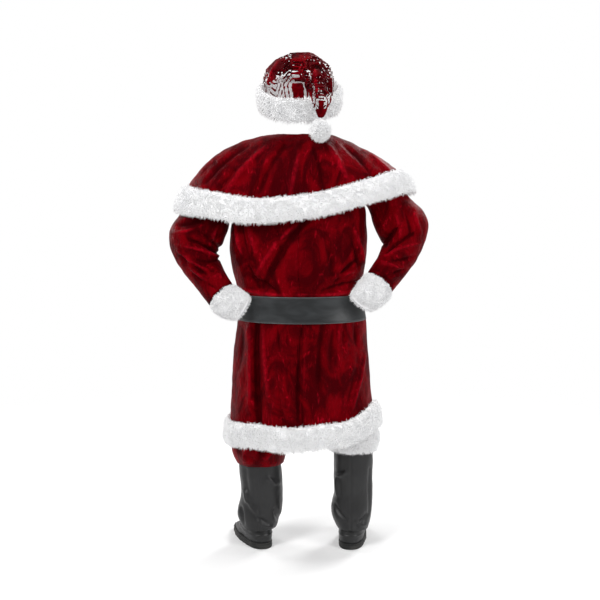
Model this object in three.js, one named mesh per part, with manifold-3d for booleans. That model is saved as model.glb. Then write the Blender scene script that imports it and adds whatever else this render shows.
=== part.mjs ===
// A Santa suit in the hollow form it takes when worn, hands on hips: hat, capelet, coat, belt,
// trousers and boots. Millimetres, +Z up. The front of the suit faces -Y and +X is the
// wearer's left. The origin is the centre of the coat's neck opening, at shoulder height.
import * as THREE from 'three';
import Module from 'manifold-3d';
import { mergeVertices } from 'three/addons/utils/BufferGeometryUtils.js';

// ---------------------------------------------------------------- driving dimensions
const SEAM = 0.3; // gap between pieces that meet at a seam
const LAID = 1.6; // gap under a trim that lies on a curved panel
const CLOTH = 2; // velvet wall
const VINYL = 2.5; // boot and belt wall
const FUR = 20; // how far a fur trim stands off the cloth
const FLOOR = -1502; // what the soles stand on
const BELT_HEIGHT = 96;
const BELT_TOP = -549; // at the centre back
const BELT_DIP = 2; // how much lower the belt sits at each side than at the back
const HEM_TRIM_HEIGHT = 80;
const FRONT_TRIM_HALF = 36;
const FRONT_TRIM_UNDER_BELT = 6; // pile pressed flat by the belt and by the capelet
const CAPE_FRONT_EDGE = -292;
const ARMHOLE = { middle: -146, half: 82, reach: 38 }; // reach is in degrees round the body
const WAIST = -640; // rows above it are level, rows below it follow the hem

// ---------------------------------------------------------------- tables
// Coat body, a row for each level section.
const TORSO = [
  { z: 4, halfWidth: 84, halfDepth: 80, shift: 0, power: 2.0 },
  { z: -14, halfWidth: 122, halfDepth: 94, shift: 0, power: 2.0 },
  { z: -34, halfWidth: 168, halfDepth: 110, shift: 0, power: 2.1 },
  { z: -64, halfWidth: 203, halfDepth: 126, shift: 0, power: 2.2 },
  { z: -146, halfWidth: 218, halfDepth: 138, shift: 0, power: 2.3 },
  { z: -240, halfWidth: 234, halfDepth: 148, shift: 4, power: 2.3 },
  { z: -345, halfWidth: 250, halfDepth: 154, shift: 10, power: 2.3 },
  { z: -432, halfWidth: 245, halfDepth: 157, shift: 13, power: 2.2 },
  { z: -500, halfWidth: 231, halfDepth: 156, shift: 9, power: 2.15 },
  { z: -548, halfWidth: 226, halfDepth: 151, shift: 3, power: 2.1 },
  { z: -600, halfWidth: 224, halfDepth: 148, shift: 0, power: 2.1 },
  { z: -655, halfWidth: 234, halfDepth: 152, shift: -1, power: 2.1 },
  { z: -764, halfWidth: 246, halfDepth: 164, shift: 2, power: 2.15 },
  { z: -854, halfWidth: 251, halfDepth: 172, shift: 2, power: 2.2 },
  { z: -944, halfWidth: 259, halfDepth: 178, shift: -2, power: 2.2 },
  { z: -1020, halfWidth: 268, halfDepth: 182, shift: -6, power: 2.25 },
  { z: -1110, halfWidth: 274, halfDepth: 186, shift: -8, power: 2.25 },
];

// Largest folds of the coat: degrees round the body (0 left, 90 back, 180 right, 270 front).
const COAT_FOLDS = [
  { angle: 55, halfWidth: 15, depth: -13, top: -662, bottom: -1500 },
  { angle: 37, halfWidth: 14, depth: 7, top: -662, bottom: -1500 },
  { angle: 90, halfWidth: 11, depth: -9, top: -662, bottom: -1500 },
  { angle: 73, halfWidth: 12, depth: 6, top: -680, bottom: -1500 },
  { angle: 121, halfWidth: 14, depth: -8, top: -668, bottom: -1500 },
  { angle: 143, halfWidth: 13, depth: 9, top: -720, bottom: -1500 },
  { angle: 205, halfWidth: 15, depth: -10, top: -668, bottom: -1500 },
  { angle: 232, halfWidth: 14, depth: 8, top: -680, bottom: -1500 },
  { angle: 318, halfWidth: 14, depth: -11, top: -668, bottom: -1500 },
  { angle: 338, halfWidth: 14, depth: 8, top: -690, bottom: -1500 },
  { angle: 40, halfWidth: 16, depth: 8, top: -330, bottom: -545 },
  { angle: 68, halfWidth: 15, depth: -8, top: -280, bottom: -540 },
  { angle: 128, halfWidth: 16, depth: -7, top: -300, bottom: -540 },
  { angle: 148, halfWidth: 14, depth: 7, top: -330, bottom: -545 },
  { angle: 228, halfWidth: 18, depth: 7, top: -330, bottom: -550 },
  { angle: 310, halfWidth: 18, depth: 7, top: -330, bottom: -550 },
];

// Lower edge of the coat's velvet round the body.
const COAT_HEM = [
  { angle: 0, z: -1098 },
  { angle: 30, z: -1092 },
  { angle: 52, z: -1086 },
  { angle: 75, z: -1092 },
  { angle: 90, z: -1092 },
  { angle: 106, z: -1078 },
  { angle: 124, z: -1079 },
  { angle: 142, z: -1046 },
  { angle: 160, z: -1026 },
  { angle: 180, z: -1040 },
  { angle: 215, z: -1074 },
  { angle: 270, z: -1086 },
  { angle: 320, z: -1094 },
  { angle: 360, z: -1098 },
];

// Sleeves: a row for each ring, from the shoulder to the wrist. x is outward from the body,
// lean is the angle of the ring's outer side from straight up, in degrees.
const LEFT_SLEEVE = [
  { x: 266, y: 0, z: -164, halfUp: 82, halfDepth: 74, lean: 7 },
  { x: 306, y: 3, z: -240, halfUp: 82, halfDepth: 78, lean: 30 },
  { x: 348, y: 7, z: -300, halfUp: 88, halfDepth: 80, lean: 50 },
  { x: 384, y: 12, z: -346, halfUp: 98, halfDepth: 80, lean: 60 },
  { x: 391, y: 18, z: -382, halfUp: 93, halfDepth: 78, lean: 78 },
  { x: 378, y: 32, z: -422, halfUp: 78, halfDepth: 72, lean: 98 },
  { x: 350, y: 56, z: -467, halfUp: 64, halfDepth: 60, lean: 115 },
  { x: 286, y: 100, z: -547, halfUp: 54, halfDepth: 48, lean: 134 },
];
const RIGHT_SLEEVE = [
  { x: 258, y: 0, z: -160, halfUp: 82, halfDepth: 74, lean: 7 },
  { x: 296, y: 2, z: -224, halfUp: 82, halfDepth: 78, lean: 30 },
  { x: 338, y: 6, z: -276, halfUp: 86, halfDepth: 80, lean: 48 },
  { x: 374, y: 8, z: -318, halfUp: 95, halfDepth: 80, lean: 55 },
  { x: 377, y: 16, z: -354, halfUp: 89, halfDepth: 78, lean: 74 },
  { x: 358, y: 34, z: -398, halfUp: 72, halfDepth: 70, lean: 95 },
  { x: 328, y: 60, z: -444, halfUp: 60, halfDepth: 58, lean: 112 },
  { x: 279, y: 92, z: -503, halfUp: 52, halfDepth: 48, lean: 128 },
];
const LEFT_CUFF = [
  { x: 282, y: 103, z: -551, halfUp: 59, halfDepth: 54, lean: 135 },
  { x: 259, y: 115, z: -568, halfUp: 60, halfDepth: 53, lean: 139 },
  { x: 234, y: 127, z: -582, halfUp: 54, halfDepth: 46, lean: 145 },
  { x: 208, y: 138, z: -592, halfUp: 46, halfDepth: 36, lean: 151 },
];
const RIGHT_CUFF = [
  { x: 275, y: 95, z: -507, halfUp: 58, halfDepth: 54, lean: 128 },
  { x: 256, y: 110, z: -530, halfUp: 60, halfDepth: 53, lean: 128 },
  { x: 234, y: 124, z: -552, halfUp: 54, halfDepth: 45, lean: 127 },
  { x: 210, y: 138, z: -574, halfUp: 45, halfDepth: 36, lean: 126 },
];

// Capelet: a row for each ring from the neck to the hem. Each ring's four ends.
const CAPE = [
  { at: 0, left: 100, right: 96, back: 94, front: 92, leftZ: 20, rightZ: 20, midZ: 20, sway: 0 },
  { at: 0.2, left: 203, right: 162, back: 117, front: 119, leftZ: 0, rightZ: 0, midZ: -8, sway: 0 },
  { at: 0.42, left: 293, right: 232, back: 138, front: 140, leftZ: -43, rightZ: -38, midZ: -62, sway: 0.1 },
  { at: 0.62, left: 360, right: 302, back: 152, front: 153, leftZ: -104, rightZ: -76, midZ: -122, sway: 0.4 },
  { at: 0.8, left: 408, right: 358, back: 163, front: 163, leftZ: -168, rightZ: -120, midZ: -196, sway: 0.9 },
  { at: 1, left: 444, right: 396, back: 171, front: 171, leftZ: -246, rightZ: -186, midZ: -268, sway: 1 },
];
const CAPE_SWAY = [
  { angle: 0, rise: 0 },
  { angle: 25, rise: -6 },
  { angle: 45, rise: -6 },
  { angle: 62, rise: -20 },
  { angle: 78, rise: -12 },
  { angle: 90, rise: 0 },
  { angle: 105, rise: 12 },
  { angle: 120, rise: 26 },
  { angle: 135, rise: 28 },
  { angle: 155, rise: 20 },
  { angle: 180, rise: 0 },
  { angle: 225, rise: 14 },
  { angle: 270, rise: 4 },
  { angle: 315, rise: -14 },
  { angle: 360, rise: 0 },
];
const CAPE_FOLDS = [
  { angle: 30, halfWidth: 13, depth: 7 },
  { angle: 55, halfWidth: 12, depth: -6 },
  { angle: 78, halfWidth: 12, depth: 6 },
  { angle: 102, halfWidth: 12, depth: -6 },
  { angle: 128, halfWidth: 13, depth: 7 },
  { angle: 152, halfWidth: 12, depth: -5 },
  { angle: 228, halfWidth: 14, depth: 6 },
  { angle: 312, halfWidth: 14, depth: 6 },
];

// Hat: rings of the crown, then rings of the point that folds over and hangs at the back.
const HAT_TILT = 22; // degrees the rim is higher in front
const HAT_BAND_LEAN = 4; // degrees the fur band leans back
const HAT_RIM = { x: 7, y: 0, z: 150, halfWidth: 119, halfDepth: 127 };
const CROWN = [
  { x: 7, y: 0, z: 150, halfWidth: 119, halfDepth: 127, tilt: 22 },
  { x: 10, y: 0, z: 184, halfWidth: 121, halfDepth: 126, tilt: 18 },
  { x: 15, y: -1, z: 214, halfWidth: 124, halfDepth: 124, tilt: 12 },
  { x: 17, y: -2, z: 248, halfWidth: 110, halfDepth: 112, tilt: 6 },
  { x: 12, y: 0, z: 282, halfWidth: 82, halfDepth: 84, tilt: 2 },
  { x: 0, y: 4, z: 303, halfWidth: 44, halfDepth: 48, tilt: 0 },
];
const POINT = [
  { x: -22, y: 20, z: 262, halfWidth: 66, thick: 34, pitch: 60 },
  { x: -42, y: 84, z: 246, halfWidth: 62, thick: 30, pitch: 46 },
  { x: -58, y: 138, z: 206, halfWidth: 53, thick: 24, pitch: 26 },
  { x: -66, y: 164, z: 164, halfWidth: 44, thick: 19, pitch: 12 },
  { x: -68, y: 174, z: 128, halfWidth: 35, thick: 16, pitch: 4 },
  { x: -66, y: 177, z: 98, halfWidth: 22, thick: 13, pitch: 0 },
  { x: -64, y: 177, z: 72, halfWidth: 10, thick: 10, pitch: 0 },
];
const POMPOM = { x: -64, y: 177, z: 30, radius: 37 };

// Trousers: rows from the waist to the end of the leg. x is the leg's middle from the centre.
const LEFT_LEG = [
  { z: -560, x: 0, halfWidth: 200, y: 0, halfDepth: 128 },
  { z: -640, x: 30, halfWidth: 172, y: 0, halfDepth: 128 },
  { z: -710, x: 66, halfWidth: 134, y: 0, halfDepth: 122 },
  { z: -760, x: 94, halfWidth: 104, y: 0, halfDepth: 112 },
  { z: -820, x: 108, halfWidth: 100, y: 0, halfDepth: 106 },
  { z: -930, x: 126, halfWidth: 94, y: 0, halfDepth: 98 },
  { z: -1040, x: 146, halfWidth: 94, y: 0, halfDepth: 96 },
  { z: -1100, x: 158, halfWidth: 103, y: 2, halfDepth: 102 },
  { z: -1140, x: 160, halfWidth: 106, y: 4, halfDepth: 106 },
  { z: -1168, x: 157, halfWidth: 98, y: 4, halfDepth: 100 },
  { z: -1184, x: 153, halfWidth: 87, y: 2, halfDepth: 85 },
];
const RIGHT_LEG = [
  { z: -560, x: 0, halfWidth: 200, y: 0, halfDepth: 128 },
  { z: -640, x: 30, halfWidth: 172, y: 0, halfDepth: 128 },
  { z: -710, x: 68, halfWidth: 134, y: 0, halfDepth: 122 },
  { z: -760, x: 98, halfWidth: 104, y: 0, halfDepth: 112 },
  { z: -820, x: 116, halfWidth: 98, y: 0, halfDepth: 106 },
  { z: -930, x: 144, halfWidth: 90, y: 0, halfDepth: 96 },
  { z: -1020, x: 168, halfWidth: 84, y: 0, halfDepth: 86 },
  { z: -1070, x: 184, halfWidth: 69, y: 0, halfDepth: 69 },
  { z: -1125, x: 191, halfWidth: 64, y: 0, halfDepth: 64 },
  { z: -1200, x: 192, halfWidth: 64, y: 0, halfDepth: 64 },
];

// Boot shafts, rows from the top edge to the ankle edge.
const LEFT_SHAFT = [
  { z: -1100, x: 154, halfWidth: 78, halfDepth: 76 },
  { z: -1195, x: 154, halfWidth: 79, halfDepth: 76 },
  { z: -1245, x: 151, halfWidth: 82, halfDepth: 77 },
  { z: -1312, x: 148, halfWidth: 78, halfDepth: 74 },
  { z: -1358, x: 155, halfWidth: 86, halfDepth: 77 },
  { z: -1400, x: 161, halfWidth: 82, halfDepth: 78 },
  { z: -1430, x: 158, halfWidth: 66, halfDepth: 76 },
];
const RIGHT_SHAFT = [
  { z: -1078, x: 192, halfWidth: 74, halfDepth: 74 },
  { z: -1195, x: 192, halfWidth: 74, halfDepth: 74 },
  { z: -1245, x: 192, halfWidth: 74, halfDepth: 74 },
  { z: -1318, x: 194, halfWidth: 73, halfDepth: 73 },
  { z: -1358, x: 185, halfWidth: 82, halfDepth: 76 },
  { z: -1400, x: 190, halfWidth: 76, halfDepth: 78 },
  { z: -1430, x: 190, halfWidth: 61, halfDepth: 76 },
];
// Foot of a boot, rows from the ankle to the sole. front is the toe, back is the heel.
const FOOT = [
  { z: -1412, back: 54, front: 54, halfWidth: 46, heelWidth: 0.95 },
  { z: -1430, back: 57, front: 62, halfWidth: 47, heelWidth: 0.95 },
  { z: -1446, back: 62, front: 122, halfWidth: 51, heelWidth: 0.9 },
  { z: -1460, back: 63, front: 172, halfWidth: 52, heelWidth: 0.86 },
  { z: -1472, back: 63, front: 198, halfWidth: 52, heelWidth: 0.84 },
  { z: -1480, back: 61, front: 203, halfWidth: 50, heelWidth: 0.82 },
];
const SOLE = { top: -1480.4, back: 66, front: 210, halfWidth: 55, heelWidth: 0.8 };
const FEET = {
  left: { side: 1, x: 160, y: 0, splay: 24 },
  right: { side: -1, x: 186, y: 4, splay: 8 },
};

// ---------------------------------------------------------------- small helpers
const rad = THREE.MathUtils.degToRad;
const vec = (x, y, z) => new THREE.Vector3(x, y, z);
const range = (count) => Array.from({ length: count }, (_, i) => i);
const spread = (from, to, steps) => range(steps + 1).map((i) => from + ((to - from) * i) / steps);
const hump = (u) => (Math.abs(u) < 1 ? Math.cos((Math.PI / 2) * u) ** 2 : 0);

// Reads column `key` of a table at value `at` of column `by`, on a smooth curve through the rows.
function lookup(rows, by, key, at) {
  const step = Math.sign(rows[rows.length - 1][by] - rows[0][by]);
  let i = 0;
  while (i < rows.length - 2 && (at - rows[i + 1][by]) * step > 0) i += 1;
  const slope = (a, b) => (rows[b][key] - rows[a][key]) / (rows[b][by] - rows[a][by]);
  const here = slope(i, i + 1);
  const before = i > 0 ? (slope(i - 1, i) + here) / 2 : here;
  const after = i < rows.length - 2 ? (here + slope(i + 1, i + 2)) / 2 : here;
  const span = rows[i + 1][by] - rows[i][by];
  const t = (at - rows[i][by]) / span;
  if (t < 0) return rows[i][key] + before * (at - rows[i][by]);
  if (t > 1) return rows[i + 1][key] + after * (at - rows[i + 1][by]);
  const rise = (3 - 2 * t) * t * t;
  const start = t * (1 - t) * (1 - t) * span * before;
  const end = t * t * (t - 1) * span * after;
  return rows[i][key] * (1 - rise) + rows[i + 1][key] * rise + start + end;
}

// Point of a rounded section: a and b are its half sizes, power 2 is an ellipse.
function sectionPoint(angle, a, b, power) {
  const c = Math.cos(rad(angle));
  const s = Math.sin(rad(angle));
  const size = (Math.abs(c) ** power + Math.abs(s) ** power) ** (-1 / power);
  return { x: a * c * size, y: b * s * size };
}

const middleOf = (points) => points.reduce((sum, p) => sum.add(p), vec(0, 0, 0)).divideScalar(points.length);

// Turns a surface point(u, v) into one that can be moved out along its normal.
function offsetting(point, outward) {
  const STEP = 0.02;
  return (u, v, out) => {
    const here = point(u, v);
    if (out === 0) return here;
    const alongU = point(u + STEP, v).sub(point(u - STEP, v));
    const alongV = point(u, v + STEP).sub(point(u, v - STEP));
    const normal = alongU.cross(alongV).normalize();
    if (normal.dot(outward(here, u, v)) < 0) normal.negate();
    return here.addScaledVector(normal, out);
  };
}

// ---------------------------------------------------------------- closed bodies
function geometryFrom(points, quads, triangles = []) {
  const faces = [...triangles];
  for (const [a, b, c, d] of quads) faces.push([a, b, c], [a, c, d]);
  let volume = 0;
  for (const [a, b, c] of faces) {
    volume += points[a].dot(points[b].clone().cross(points[c]));
  }
  const order = volume < 0 ? faces.map(([a, b, c]) => [a, c, b]) : faces;
  const geometry = new THREE.BufferGeometry();
  geometry.setAttribute('position', new THREE.Float32BufferAttribute(points.flatMap((p) => p.toArray()), 3));
  geometry.setIndex(order.flat());
  return geometry;
}

// Inner face of a wall: rows of outer points moved inwards along the grid's own normals.
function insideOf(rows, thickness, round, axisAt) {
  const m = rows[0].length;
  const n = rows.length;
  const level = (i) => Math.min(Math.max(i, 0), n - 1);
  const column = (j) => (round ? (j + m) % m : Math.min(Math.max(j, 0), m - 1));
  const pick = (i, j) => rows[level(i)][column(j)];
  return rows.map((row, i) => row.map((point, j) => {
    const across = pick(i, j + 1).clone().sub(pick(i, j - 1));
    const along = pick(i + 1, j).clone().sub(pick(i - 1, j));
    const normal = across.cross(along).normalize();
    if (normal.dot(point.clone().sub(axisAt(i))) < 0) normal.negate();
    return point.clone().addScaledVector(normal, -thickness);
  }));
}

// A wall of cloth between an outer and an inner grid of points. `round` joins each row's last
// point to its first; without it the panel has two free edges as well.
function wall(outer, inner, round) {
  const m = outer[0].length;
  const n = outer.length;
  const at = (i, j) => i * m + (j % m);
  const shift = n * m;
  const quads = [];
  const columns = round ? m : m - 1;
  for (const i of range(n - 1)) {
    for (const j of range(columns)) {
      quads.push([at(i, j), at(i, j + 1), at(i + 1, j + 1), at(i + 1, j)]);
      quads.push([shift + at(i, j), shift + at(i + 1, j), shift + at(i + 1, j + 1), shift + at(i, j + 1)]);
    }
    if (!round) {
      quads.push([at(i, 0), at(i + 1, 0), shift + at(i + 1, 0), shift + at(i, 0)]);
      quads.push([at(i, m - 1), shift + at(i, m - 1), shift + at(i + 1, m - 1), at(i + 1, m - 1)]);
    }
  }
  for (const j of range(columns)) {
    quads.push([at(0, j), shift + at(0, j), shift + at(0, j + 1), at(0, j + 1)]);
    quads.push([at(n - 1, j), at(n - 1, j + 1), shift + at(n - 1, j + 1), shift + at(n - 1, j)]);
  }
  return geometryFrom([...outer.flat(), ...inner.flat()], quads);
}

// A solid bar: one closed loop of points at each station. `round` joins the last to the first,
// otherwise both ends are capped.
function bar(loops, round) {
  const m = loops[0].length;
  const n = loops.length;
  const points = loops.flat();
  const at = (i, j) => (i % n) * m + (j % m);
  const quads = [];
  const triangles = [];
  for (const i of range(round ? n : n - 1)) {
    for (const j of range(m)) quads.push([at(i, j), at(i, j + 1), at(i + 1, j + 1), at(i + 1, j)]);
  }
  if (!round) {
    for (const i of [0, n - 1]) {
      points.push(middleOf(loops[i]));
      for (const j of range(m)) {
        const edge = i === 0 ? [at(i, j + 1), at(i, j)] : [at(i, j), at(i, j + 1)];
        triangles.push([points.length - 1, ...edge]);
      }
    }
  }
  return geometryFrom(points, quads, triangles);
}

// Fur or strap laid on a surface: a section of rows {across, out} carried along it.
function laidOn(surface, stations, section, round) {
  return bar(stations.map((u) => section.map((s) => surface(u, s.across, s.out))), round);
}

// Section of a fur trim between two edges, standing off by `out` and rounded at both edges.
function furSection(from, to, out = FUR, lift = LAID) {
  const at = (part) => from + (to - from) * part;
  return [
    { across: at(0.55), out: lift },
    { across: at(0.02), out: lift },
    { across: at(-0.02), out: out * 0.45 },
    { across: at(0.1), out: out * 0.88 },
    { across: at(0.5), out },
    { across: at(0.9), out: out * 0.88 },
    { across: at(1.03), out: out * 0.45 },
    { across: at(1), out: lift },
  ];
}

function strapSection(from, to, thick, lift) {
  return [
    { across: from, out: lift },
    { across: from, out: lift + thick },
    { across: (from + to) / 2, out: lift + thick },
    { across: to, out: lift + thick },
    { across: to, out: lift },
    { across: (from + to) / 2, out: lift },
  ];
}

// ---------------------------------------------------------------- booleans
const wasm = await Module();
wasm.setup();

function toSolid(geometry) {
  const plain = geometry.clone();
  plain.deleteAttribute('normal');
  plain.deleteAttribute('uv');
  const merged = mergeVertices(plain, 1e-4);
  const mesh = new wasm.Mesh({
    numProp: 3,
    vertProperties: merged.attributes.position.array,
    triVerts: Uint32Array.from(merged.index.array),
  });
  return new wasm.Manifold(mesh);
}

function toGeometry(solid) {
  const mesh = solid.getMesh();
  const geometry = new THREE.BufferGeometry();
  geometry.setAttribute('position', new THREE.BufferAttribute(mesh.vertProperties, 3));
  geometry.setIndex(new THREE.BufferAttribute(mesh.triVerts, 1));
  return geometry;
}

// ---------------------------------------------------------------- materials
const paint = (color, roughness, metalness) => {
  return new THREE.MeshStandardMaterial({ color, roughness, metalness });
};
const velvet = paint(0x6e0410, 0.7, 0);
const fur = paint(0xefefef, 0.95, 0);
const vinyl = paint(0x2a2d30, 0.4, 0);
const leather = paint(0x1e1e1e, 0.5, 0);
const rubber = paint(0x141414, 0.85, 0);
const brass = paint(0xc9a24a, 0.3, 1);

const suit = new THREE.Group();
function add(name, geometry, material) {
  const mesh = new THREE.Mesh(geometry, material);
  mesh.name = name;
  suit.add(mesh);
}

// ---------------------------------------------------------------- coat body
const upright = (p) => vec(p.x, p.y, 20);

function torsoPoint(angle, z) {
  const column = (key) => lookup(TORSO, 'z', key, z);
  const flat = sectionPoint(angle, column('halfWidth'), column('halfDepth'), column('power'));
  const turn = ((angle % 360) + 360) % 360;
  let fold = 0;
  for (const row of COAT_FOLDS) {
    const height = (row.top - z) / (row.top - row.bottom);
    const fade = height > 0 && height < 1 ? Math.sin(Math.PI * height) ** 0.7 : 0;
    fold += row.depth * hump((turn - row.angle) / row.halfWidth) * fade;
  }
  const size = Math.hypot(flat.x, flat.y);
  const grow = 1 + fold / size;
  return vec(flat.x * grow + column('shift'), flat.y * grow, z);
}
const torso = offsetting(torsoPoint, upright);
const hemAt = (angle) => lookup(COAT_HEM, 'angle', 'z', ((angle % 360) + 360) % 360);

// Levels of a coat panel's rows: level ones down to the waist, then ones that follow the hem.
const SHOULDER_LEVELS = [4, -14, -34];
const ARM_SIDES = 14;
const armholeLevel = (i) => ARMHOLE.middle + ARMHOLE.half * Math.cos((2 * i * Math.PI) / ARM_SIDES);
const ARMHOLE_LEVELS = range(ARM_SIDES / 2 + 1).map(armholeLevel);
const CHEST_LEVELS = [-285, -345, -400, -455, -505, -548, -595, WAIST];
const PANEL_STEP = 11.25; // degrees between a coat panel's columns
const SKIRT_PARTS = [0.14, 0.32, 0.52, 0.72, 0.88, 1];

function armholeReach(z) {
  const u = (z - ARMHOLE.middle) / ARMHOLE.half;
  return Math.abs(u) < 1 ? ARMHOLE.reach * Math.sqrt(1 - u * u) : 0;
}

// One quarter of the coat, from the side seam to the centre seam.
function coatPanel(side, centre, columns, centreGap) {
  const turnTo = Math.sign(centre - side);
  const levels = [...SHOULDER_LEVELS, ...ARMHOLE_LEVELS, ...CHEST_LEVELS];
  const row = (zAt, reach, out) => {
    const halfWidth = lookup(TORSO, 'z', 'halfWidth', zAt(centre));
    const halfDepth = lookup(TORSO, 'z', 'halfDepth', zAt(side));
    const sideGap = THREE.MathUtils.radToDeg(SEAM / 2 / halfDepth);
    const middleGap = THREE.MathUtils.radToDeg(centreGap / halfWidth);
    const from = side + turnTo * (reach + sideGap);
    const to = centre - turnTo * middleGap;
    return spread(from, to, columns).map((angle) => torso(angle, zAt(angle), out));
  };
  const face = (out) => [
    ...levels.map((z) => row(() => z, armholeReach(z), out)),
    ...SKIRT_PARTS.map((part) => row((angle) => WAIST + (hemAt(angle) - WAIST) * part, 0, out)),
  ];
  return wall(face(0), face(-CLOTH), false);
}

const FRONT_OPENING = 1; // half of the gap where the two fronts meet
add('coat_back_left', coatPanel(0, 90, 8, SEAM / 2), velvet);
add('coat_back_right', coatPanel(180, 90, 8, SEAM / 2), velvet);
add('coat_front_right', coatPanel(180, 270, 8, FRONT_OPENING), velvet);
add('coat_front_left', coatPanel(360, 270, 8, FRONT_OPENING), velvet);

// ---------------------------------------------------------------- sleeves and cuffs
// Rings of an arm tube, numbered from its underside, past the back, to its top side.
function armRings(side, rows, sides, first) {
  const centres = rows.map((r) => vec(side * r.x, r.y, r.z));
  return rows.map((r, i) => {
    const ahead = centres[Math.min(i + 1, rows.length - 1)];
    const behind = i > 0 ? centres[i - 1] : first ?? centres[0];
    const along = ahead.clone().sub(behind).normalize();
    const up = vec(side * Math.sin(rad(r.lean)), 0, Math.cos(rad(r.lean)));
    const deep = up.clone().cross(along).normalize();
    if (deep.y < 0) deep.negate();
    return range(sides).map((j) => {
      const angle = (j / sides) * 2 * Math.PI;
      return centres[i]
        .clone()
        .addScaledVector(up, -r.halfUp * Math.cos(angle))
        .addScaledVector(deep, r.halfDepth * Math.sin(angle));
    });
  });
}

function sleeve(side, rows) {
  const centreAngle = side > 0 ? 0 : 180;
  const shrink = 1 - (2 * SEAM) / ARMHOLE.half;
  const head = range(ARM_SIDES).map((j) => {
    const angle = (j / ARM_SIDES) * 2 * Math.PI;
    const reach = ARMHOLE.reach * shrink * Math.sin(angle) * side;
    return torso(centreAngle + reach, ARMHOLE.middle - ARMHOLE.half * shrink * Math.cos(angle), 0);
  });
  const middle = torso(centreAngle, ARMHOLE.middle, -40);
  const rings = [head, ...armRings(side, rows, ARM_SIDES, middle)];
  return wall(rings, insideOf(rings, CLOTH, true, (i) => middleOf(rings[i])), true);
}

function cuff(side, rows) {
  const rings = armRings(side, rows, ARM_SIDES);
  return wall(rings, insideOf(rings, FUR * 0.7, true, (i) => middleOf(rings[i])), true);
}

add('sleeve_left', sleeve(1, LEFT_SLEEVE), velvet);
add('sleeve_right', sleeve(-1, RIGHT_SLEEVE), velvet);
add('cuff_left', cuff(1, LEFT_CUFF), fur);
add('cuff_right', cuff(-1, RIGHT_CUFF), fur);

// ---------------------------------------------------------------- fur of the coat, belt
const aboveHem = (angle, part, out) => torso(angle, hemAt(angle) + HEM_TRIM_HEIGHT * (1 - part), out);
const FRONT_TRIM_ANGLE = THREE.MathUtils.radToDeg(FRONT_TRIM_HALF / 270) + 1.2;
const hemStations = [
  270 + FRONT_TRIM_ANGLE,
  ...range(31).map((i) => 270 + (i + 1) * PANEL_STEP),
  630 - FRONT_TRIM_ANGLE,
];
add('coat_hem_trim', laidOn(aboveHem, hemStations, furSection(0, 1.03), false), fur);

const beltTop = (angle) => BELT_TOP - BELT_DIP * (1 - Math.sin(rad(angle)));

// Thickness of the fur down the front: pressed flat where the belt crosses it.
function frontTrimThickness(z) {
  const middle = beltTop(270) - BELT_HEIGHT / 2;
  const underBelt = hump(Math.max(Math.abs(z - middle) - 56, 0) / 40);
  const underCape = THREE.MathUtils.smoothstep(z, CAPE_FRONT_EDGE - 40, CAPE_FRONT_EDGE);
  const full = FUR * 0.75;
  return full - (full - FRONT_TRIM_UNDER_BELT) * Math.max(underBelt, underCape);
}
const FRONT_TRIM_LEVELS = [
  ...SHOULDER_LEVELS.slice(1),
  ...ARMHOLE_LEVELS,
  ...CHEST_LEVELS,
  ...SKIRT_PARTS.map((part) => WAIST + (hemAt(270) - WAIST) * part),
];
function frontTrimLoop(z) {
  const halfAngle = THREE.MathUtils.radToDeg(FRONT_TRIM_HALF / lookup(TORSO, 'z', 'halfWidth', z));
  const section = furSection(270 - halfAngle, 270 + halfAngle, frontTrimThickness(z), 2.4);
  return section.map((s) => torso(s.across, z, s.out));
}
add('coat_front_trim', bar(FRONT_TRIM_LEVELS.map(frontTrimLoop), false), fur);

const BELT_BUMP = 22; // degrees each side of the front over which the belt climbs the fur
const beltLift = (angle) => {
  const climb = Math.min(1, 1.7 * hump((angle - 270) / BELT_BUMP));
  return LAID + (FRONT_TRIM_UNDER_BELT + 3) * climb;
};
const onBelt = (angle, part, out) => {
  return torso(angle, beltTop(angle) - BELT_HEIGHT * part, out + beltLift(angle));
};
const beltStations = [
  ...range(22).map((i) => i * PANEL_STEP),
  ...spread(243, 297, 12),
  ...range(5).map((i) => (27 + i) * PANEL_STEP),
];
add('belt_strap', laidOn(onBelt, beltStations, strapSection(0, 1, 3, 0), true), vinyl);

// Buckle: a flat square frame in front of the belt, and a prong across its opening.
const BUCKLE = { halfWidth: 64, halfHeight: 62, bar: 15, thick: 5 };
const buckleFace = torso(270, beltTop(270) - BELT_HEIGHT / 2, 0).y - beltLift(270) - 3 - 9;
const buckleMiddle = beltTop(270) - BELT_HEIGHT / 2;

function roundedFrame(halfWidth, halfHeight, corner) {
  const path = new THREE.Shape();
  const w = halfWidth - corner;
  const h = halfHeight - corner;
  path.absarc(w, h, corner, 0, Math.PI / 2);
  path.absarc(-w, h, corner, Math.PI / 2, Math.PI);
  path.absarc(-w, -h, corner, Math.PI, 1.5 * Math.PI);
  path.absarc(w, -h, corner, 1.5 * Math.PI, 2 * Math.PI);
  return path;
}

function buckleFrame() {
  const outline = roundedFrame(BUCKLE.halfWidth, BUCKLE.halfHeight, 12);
  outline.holes.push(roundedFrame(BUCKLE.halfWidth - BUCKLE.bar, BUCKLE.halfHeight - BUCKLE.bar, 5));
  const settings = { depth: BUCKLE.thick, bevelEnabled: false, curveSegments: 4 };
  const geometry = new THREE.ExtrudeGeometry(outline, settings);
  geometry.rotateX(Math.PI / 2);
  geometry.translate(0, buckleFace, buckleMiddle);
  return geometry;
}

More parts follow.
